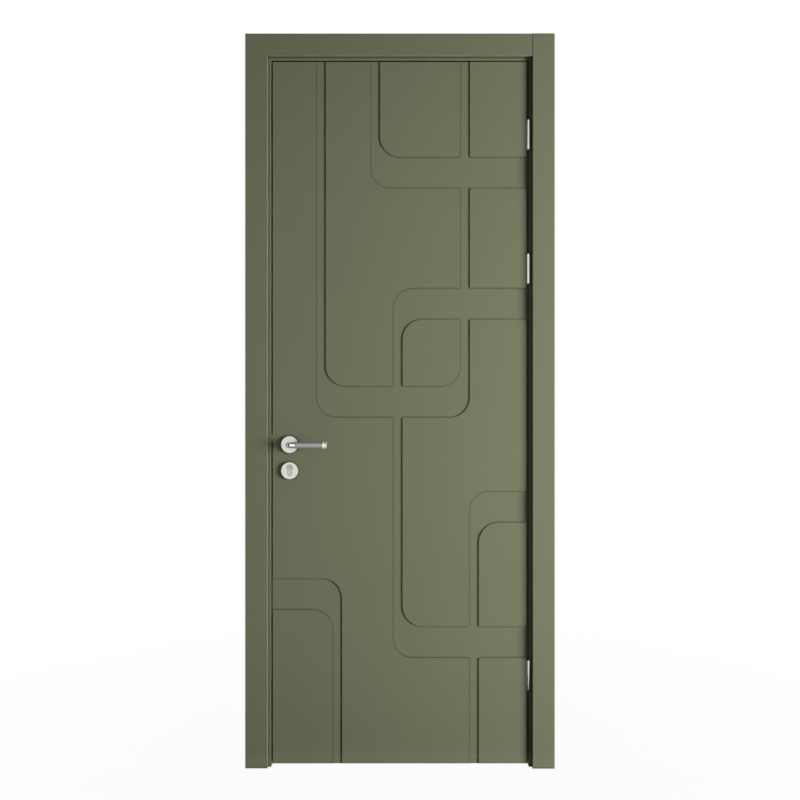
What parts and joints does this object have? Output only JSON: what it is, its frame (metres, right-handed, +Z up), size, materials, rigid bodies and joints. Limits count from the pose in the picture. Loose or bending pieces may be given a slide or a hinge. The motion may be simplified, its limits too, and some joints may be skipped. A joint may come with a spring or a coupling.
{
  "type": "flush interior door with frame",
  "caption": "Flush interior door with routed ribbon pattern, lever handle and cylinder lock, hung in its lining with architraves, without the wall.",
  "frame": {"origin": "on the floor, midway between the side jambs, in the plane of the wall face on the side the door opens to", "axes": "+X from the lock side to the hinge side, +Y into the wall, +Z up; the pictured face looks along -Y"},
  "size_m": [0.966, 0.2164, 2.293],
  "materials": {
    "green_lacquer": "matt sage green lacquer on fibreboard",
    "timber_core": "bare sawn timber and chipboard",
    "seal_rubber": "black foam seal",
    "zinc_steel": "zinc plated",
    "brushed_hinge_steel": "brushed stainless",
    "satin_nickel": "satin nickel plate",
    "grey_satin_sleeve": "satin grey",
    "polished_chrome": "polished",
    "black_plastic": "moulded"
  },
  "bodies": {
    "frame": {"hinge_jamb": "green_lacquer", "lock_jamb": "green_lacquer", "head_jamb": "green_lacquer", "frame_screws": "zinc_steel", "lock_side_stop": "green_lacquer", "hinge_side_stop": "green_lacquer", "head_stop": "green_lacquer", "door_seal": "seal_rubber", "front_architrave_hinge_side": "green_lacquer", "front_architrave_lock_side": "green_lacquer", "front_architrave_head": "green_lacquer", "rear_architrave_hinge_side": "green_lacquer", "rear_architrave_lock_side": "green_lacquer", "rear_architrave_head": "green_lacquer", "strike_plate": "brushed_hinge_steel", "strike_box": "black_plastic", "strike_screws": "zinc_steel", "hinge_frame_leaves": "brushed_hinge_steel", "hinge_pins": "brushed_hinge_steel"},
    "door": {"front_skin": "green_lacquer", "rear_skin": "green_lacquer", "hinge_stile": "timber_core", "lock_stile": "timber_core", "lock_block": "timber_core", "bottom_rail": "timber_core", "top_rail": "timber_core", "chipboard_core": "timber_core", "hinge_door_leaves": "brushed_hinge_steel", "lock_case": "zinc_steel", "lock_forend": "brushed_hinge_steel", "forend_screws": "zinc_steel", "cylinder_body": "satin_nickel", "cylinder_screw": "zinc_steel", "front_lever_rosette": "satin_nickel", "rear_lever_rosette": "satin_nickel", "front_lever_rosette_base": "black_plastic", "rear_lever_rosette_base": "black_plastic", "front_key_rosette": "satin_nickel", "rear_key_rosette": "satin_nickel", "rosette_bolts": "zinc_steel"},
    "handle_set": {"spindle": "zinc_steel", "lock_follower": "zinc_steel", "front_lever_neck": "polished_chrome", "front_lever_grip": "grey_satin_sleeve", "front_lever_cap": "polished_chrome", "rear_lever_neck": "polished_chrome", "rear_lever_grip": "grey_satin_sleeve", "rear_lever_cap": "polished_chrome", "lever_grub_screws": "zinc_steel"},
    "latch": {"latch_bolt": "zinc_steel"},
    "deadbolt": {"deadbolt": "zinc_steel"},
    "key_cam": {"cylinder_plug": "satin_nickel", "cylinder_cam": "satin_nickel", "thumb_turn": "satin_nickel"}
  },
  "joints": [
    {"name": "door_swing", "type": "hinge", "parent": "frame", "child": "door", "pos_m": [0.4015, -0.0065, 1.1], "axis": [0, 0, 1], "range_deg": [0, 165]},
    {"name": "lever_turn", "type": "hinge", "parent": "door", "child": "handle_set", "pos_m": [-0.345, 0.0225, 1.01], "axis": [0, 1, 0], "range_deg": [0, 45], "stiffness_Nm_per_rad": 1.6, "springref_deg": -20.05},
    {"name": "latch_slide", "type": "slide", "parent": "door", "child": "latch", "axis": [1, 0, 0], "range_m": [0, 0.0115]},
    {"name": "key_turn", "type": "hinge", "parent": "door", "child": "key_cam", "pos_m": [-0.345, 0.0225, 0.938], "axis": [0, 1, 0], "range_deg": [0, 360]},
    {"name": "deadbolt_slide", "type": "slide", "parent": "door", "child": "deadbolt", "axis": [-1, 0, 0], "range_m": [0, 0.02]}
  ],
  "couplings": [
    {"joint": "latch_slide", "follows": "lever_turn", "m_per_rad": 0.014515},
    {"joint": "deadbolt_slide", "follows": "key_turn", "m_per_rad": 0.0031751}
  ]
}
